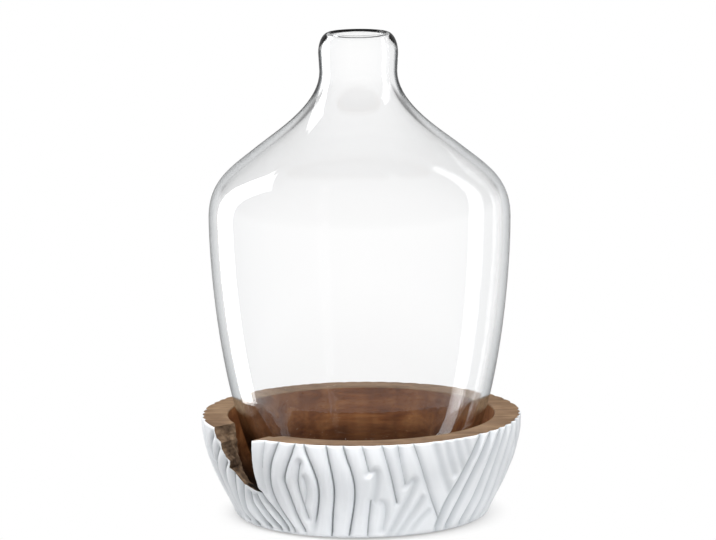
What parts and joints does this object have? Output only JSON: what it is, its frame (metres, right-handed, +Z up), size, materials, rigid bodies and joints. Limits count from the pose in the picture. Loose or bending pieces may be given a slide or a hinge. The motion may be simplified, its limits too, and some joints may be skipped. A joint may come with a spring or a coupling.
{
  "type": "vase with wooden base",
  "caption": "Clear glass demijohn-shaped vase with a narrow turned-in neck, standing loose in a shallow turned wooden bowl with a V-shaped notch in its wall, on felt pads.",
  "frame": {"origin": "centre of the footprint, on the surface that the felt pads rest on, below the middle of the vase", "axes": "+Z up along the vase's axis, -Y towards the front of the picture, so that the notch in the base is at the front left, centred 53.5 degrees from -Y towards -X"},
  "size_m": [0.2522, 0.2522, 0.3813],
  "materials": {
    "painted_wood": "carved outside painted matt white, rim and inside bare brown wood",
    "felt": "pressed felt",
    "clear_glass": "clear, fire-polished"
  },
  "bodies": {
    "base": {"wooden_base": "painted_wood", "felt_pad_1": "felt", "felt_pad_2": "felt", "felt_pad_3": "felt", "felt_pad_4": "felt"},
    "vase": {"glass_vase": "clear_glass"}
  },
  "joints": [
    {"name": "vase_lift", "type": "slide", "parent": "base", "child": "vase", "axis": [0, 0, 1], "range_m": [0, 0.1]}
  ]
}
